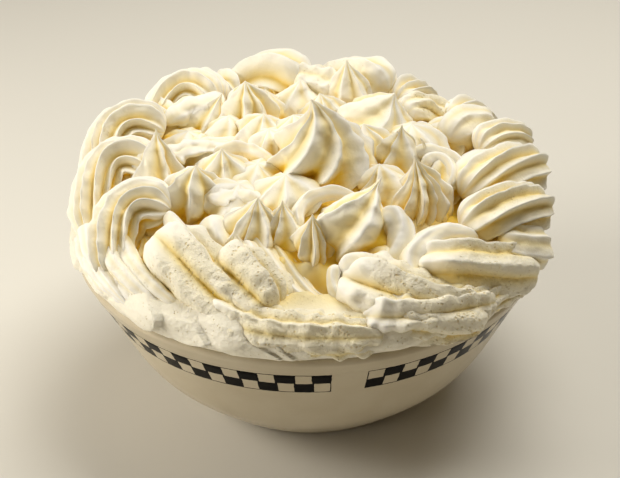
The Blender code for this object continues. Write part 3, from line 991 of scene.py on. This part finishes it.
SHELLS = (
    Shell(((-60, 30, 98), (-72, 30, 101), (-85, 8, 79)), 13.5, 0.8, depth=0.4, skew=0.6),
    Shell(((-61, -1, 97), (-72, 1, 99), (-84, -24, 79)), 13.5, 0.75, depth=0.4, skew=0.6),
    Shell(((-53, -30, 95), (-64, -30, 96), (-74, -53, 78)), 13.5, 0.7, depth=0.4, skew=0.6),
    Shell(((-57, -43, 88), (-47, -55, 86), (-36, -67, 81), (-20, -79, 76)), 17, 0.75, 9, 0.42, -0.5, 1.0,
          first=0.0, rough=0.9, broad=0.5, pillow=0.75),
    Shell(((-33, -55, 85), (-24, -66, 84), (-12, -78, 79)), 17, 0.75, 9, 0.42, -0.5, 1.0,
          first=0.0, rough=0.9, broad=0.5, pillow=0.75),
    Shell(((12, -64, 82), (24, -72, 82), (42, -77, 78), (62, -71, 75)), 16.5, 0.7, 9, 0.42, -0.5, 1.0,
          first=0.0, rough=0.9, broad=0.45, pillow=0.75),
    Shell(((40, -59, 83), (53, -60, 85), (67, -56, 82), (83, -46, 78)), 14.5, 0.75, 7, 0.36, 0.3, 0.8,
          first=0.9, rough=1.0, broad=0.25, pillow=0.3),
    Shell(((70, -44, 85), (79, -46, 85), (88, -42, 82)), 10, 0.85, 7, 0.22),
    Shell(((57, -40, 90), (74, -35, 95), (90, -27, 89)), 13.5, 0.8, 10, 0.36, airy=0.5, twist=-0.7),
    Shell(((59, -18, 92), (76, -10, 97), (92, 0, 91)), 14, 0.85, 10, 0.36, twist=-0.9),
    Shell(((70, 14, 94), (80, 20, 96), (90, 24, 91)), 11, 0.8, 11, 0.3),
    Shell(((58, 24, 94), (66, 31, 97), (77, 34, 94)), 10.5, 0.8, 7, 0.2),
    Shell(((40, 47, 94), (49, 51, 94), (60, 49, 88)), 11, 0.8, 8, 0.3, airy=0.9, rough=1.2, pillow=0.5),
    Shell(((36, 65, 99), (23, 74, 101), (7, 80, 94)), 13, 0.8, 11, 0.36, broad=0.65, broad_at=0.9),
    Shell(((-2, 69, 98), (-14, 75, 102), (-31, 78, 91)), 15, 0.8, 11, 0.36, rough=0.4, broad=0.7,
          broad_at=0.9),
    Shell(((14, 60, 97), (6, 65, 100), (-6, 68, 100)), 12, 0.9, 6, 0.2, -0.4, 0.4, rough=1.2, broad=0.3,
          pillow=0.3),
    Shell(((-38, 56, 98), (-51, 62, 101), (-66, 54, 92)), 13, 0.8, 12, 0.34),
    Shell(((-56, 44, 93), (-68, 53, 91), (-76, 59, 76)), 13, 0.8),
    Shell(((-30, 64, 94), (-39, 75, 91), (-46, 82, 75)), 14.5, 0.8),
    Shell(((-8, 70, 93), (-10, 82, 89), (-13, 90, 75)), 15, 0.8),
    Shell(((15, 68, 94), (18, 80, 90), (20, 88, 75)), 15, 0.8),
    Shell(((38, 60, 94), (46, 70, 90), (51, 78, 75)), 14.5, 0.8),
    Shell(((60, 42, 93), (70, 51, 89), (76, 58, 75)), 13.5, 0.8),
    Shell(((70, 18, 90), (82, 23, 86), (89, 27, 75)), 11, 0.8),
)

FOLDS = (
    strand(5.5, (-88, -20, 78), (-84, -39, 77), (-74, -57, 75)),
    strand(6, (-83, -37, 80), (-76, -52, 79), (-65, -66, 76)),
    strand(5.5, (-70, -57, 79), (-60, -69, 78), (-49, -79, 75), airy=0.4),
    strand(5, (-54.5, -37, 96), (-43, -51, 91), (-32, -64, 84), wide=0.6),
    strand(3.0, (-22, -46, 91), (-13, -59, 87), (-6, -70, 83), (12, -77, 81)),
    strand(2.2, (-18, -44, 89), (-9, -55, 86), (-2, -67, 82), (18, -75, 80.5)),
    strand(2.0, (-15, -42, 88), (-7, -51, 85), (-2, -63, 82), (20, -72, 80)),
    strand(3.6, (-25, -50, 91), (-17, -62, 88), (-9, -73, 82), (4, -78, 78), airy=0.5),
    strand(4, (-9, -79, 77), (3, -81, 78), (14, -81, 78), (28, -80, 77), airy=0.3),
    strand(5, (-12, -84, 76), (2, -87, 76), (16, -85, 76)),
    strand(5.5, (11, -66, 88), (18, -64, 91), (28, -66, 88), (44, -77, 80), airy=0.7),
    strand(5.5, (12, -80, 77), (28, -84, 77), (46, -80, 76), airy=0.7),
    strand(3.8, (10, -64, 90), (8, -70, 86), (13, -77, 80), wide=0.8, airy=0.4),
    strand(0.9, (34, 5, 101), (36, 3, 106), (35, 2, 111)),
    strand(0.9, (45, 2, 99), (46, 0, 104), (44, -1, 109)),
    strand(5.2, (39, -69, 82), (36, -62, 88), (42, -54, 93), (62, -50, 92)),
    strand(4.4, (-38, 5, 97), (-29, 8, 100), (-16, 1, 99), (-12, -10, 93), wide=0.5, rough=1.6),
    strand(2.6, (-55, 5, 99), (-44, 10, 101.5), (-35, 11, 100), (-26, 9, 100), wide=2.7, rough=2.6),
    strand(5, (-35, 49, 102), (-48, 46, 102), (-61, 37, 98), wide=1.8, rough=1.8),
    strand(4.5, (-4, -43, 93), (-2, -33, 98), (9, -28, 100), (19, -32, 98), wide=0.6),
    strand(4, (3, -42, 94), (10, -37, 96), (20, -38, 96), wide=0.6),
    strand(4.5, (41, 1, 100), (51, 1, 101), (58, -4, 100), (64, -12, 96), wide=0.7),
    strand(4, (45, -8, 100), (52, -5, 101), (56, -11, 99), (53, -17, 95), wide=0.7),
    strand(2.6, (56, -70, 78), (61, -68, 82), (66, -66, 80), airy=0.5),
    strand(2.8, (44, -74, 79), (51, -70, 83), (58, -70, 80), airy=0.5),
    strand(7.5, (-37, -34, 91), (-34, -44, 90), (-29, -50, 85)),
    strand(2.6, (-37, -29, 97), (-30, -25, 99.5), (-22, -25, 98), (-14, -29, 98), wide=2.5, rough=2.6),
    strand(6.5, (26, -42, 98), (33, -47, 95), (33, -54, 91), (27, -60, 87)),
    strand(4.2, (-85, -27, 87), (-82, -42, 83.5), (-74, -58, 80), (-66, -68, 76.5)),
    strand(4.4, (-78, -33, 90), (-75, -48, 87), (-66, -62, 83.5), (-54, -73, 79), airy=0.3),
    strand(3.8, (-71, -40, 90), (-66, -54, 87), (-57, -66, 83.5), (-44, -76, 79), airy=0.4),
)

SMEARS = (
    Shell(((-38, -66, 78), (-20, -84, 77), (2, -89, 77), (26, -88, 76)), 10.5, 0.8, 10, 0.24, -0.4, 1.0,
          rough=1.5, broad=0.3, pillow=0.4),
    Shell(((-17, -44, 83), (-9, -60, 78), (2, -76, 73), (24, -82, 71)), 8.5, 0.9, 7, 0.12, 0.3, 0.0),
    Shell(((18, -82, 80), (34, -83, 80), (52, -77, 79), (66, -68, 76)), 9.5, 0.8, 9, 0.28, -0.4, 0.9,
          rough=1.4, broad=0.3, pillow=0.6),
    Shell(((50, -76, 76), (68, -63, 76), (82, -43, 75)), 7.5, 0.7, 8, 0.3, -0.4, 0.9, rough=1.0, pillow=0.5),
    Shell(((-78, 14, 84), (-84, -8, 80), (-83, -32, 75)), 8.5, 0.7, 8, 0.36),
    Shell(((-77, -20, 82), (-80, -39, 78), (-71, -58, 75)), 9.0, 0.7, 8, 0.36),
)


@dataclass(frozen=True)
class PaintedCreviceShade:
    """Finds how deep each place lies among the cream around it, from a map of heights seen from above, and
    paints shade there.

    Attributes:
        cell: Size of the map's cells.
        reach: Half width of the map.
        spread: How far round a place its surroundings count.
        shallow: Depth below the surroundings where the painted shade begins.
        deep: Depth where it is full.
        ground: Height outside the cream.
        rim_level: Height near the rim, where light from outside leaves no painted shade.
        full_level: Height from which the painted shade is full.
        keep: Share of a place's own painted shade that stays.
        gain: What the full depth adds to that share.
        tint: What the full depth adds to the painted shade.
    """

    cell: float = 1.0
    reach: float = 112.0
    spread: float = 7.0
    shallow: float = 0.5
    deep: float = 8.0
    ground: float = 66.0
    rim_level: float = 73.0
    full_level: float = 84.0
    keep: float = 0.85
    gain: float = 0.35
    tint: float = 0.5

    def paint_crevice_shade(self, skins: list[Skin]) -> None:
        """Add painted shade to each skin by how far it lies below the map's heights blurred by a Gaussian.

        Args:
            skins: All the cream; their painted shade is changed.
        """
        count = int(2.0 * self.reach / self.cell)
        top = np.full((count, count), self.ground)
        cells = [((skin.rings[..., :2] + self.reach) / self.cell).astype(int) for skin in skins]
        for skin, at in zip(skins, cells):
            np.maximum.at(top, (at[..., 0], at[..., 1]), skin.rings[..., 2])
        pace = np.fft.fftfreq(count, self.cell)
        soft = np.exp(-2.0 * (pi * self.spread) ** 2 * (pace[:, None] ** 2 + pace[None, :] ** 2))
        level = np.fft.ifft2(np.fft.fft2(top) * soft).real
        for skin, at in zip(skins, cells):
            height = skin.rings[..., 2]
            below = level[at[..., 0], at[..., 1]] - height
            depth = eased(self.shallow, self.deep, below) * eased(self.rim_level, self.full_level, height)
            # Painted shade: the deeper a place lies, the more of its groove shade is kept and the more is
            # added.
            painted_shade = skin.painted_shade * (self.keep + self.gain * depth) + self.tint * depth
            skin.painted_shade = np.clip(painted_shade, 0.0, 1.0)


@dataclass
class Piping:
    """The heap and all that was piped on it, joined into a few pieces.

    Every piece rides on the one body and stands for the cream node.
    """

    heap: Heap
    kisses: tuple[Kiss, ...] = KISSES
    shells: tuple[Shell, ...] = SHELLS + SMEARS + FOLDS
    kisses_per_piece: int = 10
    shells_per_piece: int = 5
    shell_seed: int = 36

    def build(self, finish: Material) -> None:
        """Make the heap as one piece, the kisses ten to a piece and the shells five to a piece.

        Args:
            finish: The cream's material.
        """
        kisses = [kiss.skin(self.heap, seed) for seed, kiss in enumerate(self.kisses)]
        shells = [shell.skin(self.heap, seed + self.shell_seed) for seed, shell in enumerate(self.shells)]
        ground = self.heap.skin()
        # Paint shade into the crevices between all the cream's pieces.
        PaintedCreviceShade().paint_crevice_shade([*kisses, *shells, ground])
        groups = {"cream_heap": [ground]}
        for name, skins, share in (("kisses", kisses, self.kisses_per_piece),
                                   ("shells", shells, self.shells_per_piece)):
            for start in range(0, len(skins), share):
                groups[f"cream_{name}_{start // share + 1}"] = skins[start:start + share]
        for name, skins in groups.items():
            piece = make_piece(name, skins, finish)
            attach(piece, "root")
            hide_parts("whipped_cream")


# ---------------- the stage


@dataclass(frozen=True)
class Stage:
    """A plain pale floor, soft studio light and the camera at the photograph's angle.

    Each light has a name, a place in metres, a width in metres, a power in watts and a colour.
    """

    image: tuple[int, int] = (620, 478)
    centre: tuple[float, float] = (311.44, 298.41)
    aim_height: float = 33.25
    distance: float = 570.0
    elevation: float = 33.85
    roll: float = -1.065
    pixels_per_rim: float = 223.2
    rim: float = 95.0
    sensor: float = 36.0
    floor_colour: str = "#DCD9D1"
    floor_half: float = 3.0
    floor_roughness: float = 0.9
    world_colour: str = "#FFEAC6"
    world_strength: float = 0.12
    light_aim: Point = (0.0, 0.0, 0.06)
    lights: tuple[tuple[str, Point, float, float, str], ...] = (
        ("key", (-0.66, -0.04, 0.38), 0.34, 3.5, "#FFFAF0"),
        ("left fill", (-0.66, -0.36, 0.14), 0.22, 0.75, "#FFFAF0"),
        ("top", (0.22, 0.25, 0.83), 0.60, 6.6, "#FFFCF4"))

    def camera(self) -> None:
        """Place the camera so that the rim's radius covers the right number of pixels at the aim point."""
        data = bpy.data.cameras.new("camera")
        data.sensor_fit = "HORIZONTAL"
        data.sensor_width = self.sensor
        width, height = self.image
        data.lens = self.pixels_per_rim * self.distance / self.rim / width * self.sensor
        data.shift_x = -(self.centre[0] - width / 2.0) / width
        data.shift_y = (self.centre[1] - height / 2.0) / width
        tilt = radians(self.elevation)
        forward = Vector((0.0, cos(tilt), -sin(tilt)))
        aim = Vector((0.0, 0.0, self.aim_height * MM))
        turn = forward.to_track_quat("-Z", "Y").to_matrix().to_4x4()
        item = put_in_scene("camera", data)
        item.matrix_world = (Matrix.Translation(aim - forward * self.distance * MM) @ turn
                             @ Matrix.Rotation(radians(self.roll), 4, "Z"))
        bpy.context.scene.camera = item

    def light(self, name: str, place: Point, size: float, watts: float,
              colour: str) -> None:
        """Hang a square soft light that faces the pie."""
        data = bpy.data.lights.new(name, "AREA")
        data.size = size
        data.energy = watts
        data.color = linear(colour)[:3]
        item = put_in_scene(name, data)
        item.location = place
        item.rotation_euler = (Vector(self.light_aim) - Vector(place)).to_track_quat("-Z", "Y").to_euler()

    def floor(self) -> None:
        """Lay the floor, a wide flat square under the foot.

        Its matt finish gives the eye a plain warm grey ground that takes a soft shadow.
        """
        half = self.floor_half
        mesh = bpy.data.meshes.new("floor")
        corners = [(-half, -half, 0.0), (half, -half, 0.0), (half, half, 0.0), (-half, half, 0.0)]
        mesh.from_pydata(corners, [], [(0, 1, 2, 3)])
        mesh.materials.append(Surface("matt studio floor").finish(Base_Color=linear(self.floor_colour),
                                                                  Roughness=self.floor_roughness))
        item = put_in_scene("floor", mesh)

    def build(self) -> None:
        """Set up the floor, the lights, the world and the camera."""
        scene = bpy.context.scene
        scene.view_settings.view_transform = "Standard"
        world = bpy.data.worlds.new("studio")
        world.use_nodes = True
        glow = world.node_tree.nodes["Background"].inputs
        glow["Color"].default_value = linear(self.world_colour)
        glow["Strength"].default_value = self.world_strength
        scene.world = world
        for light in self.lights:
            self.light(*light)
        self.floor()
        self.camera()


def main() -> None:
    """Build the bowl, the heap and the piping, then the stage."""
    logging.basicConfig(level=logging.INFO, format="%(message)s")
    cream = WhippedCream().material()
    bowl = Bowl()
    bowl.build(IvoryGlaze().material())
    Piping(Heap(bowl)).build(cream)
    Stage().build()


if __name__ == "__main__":
    main()
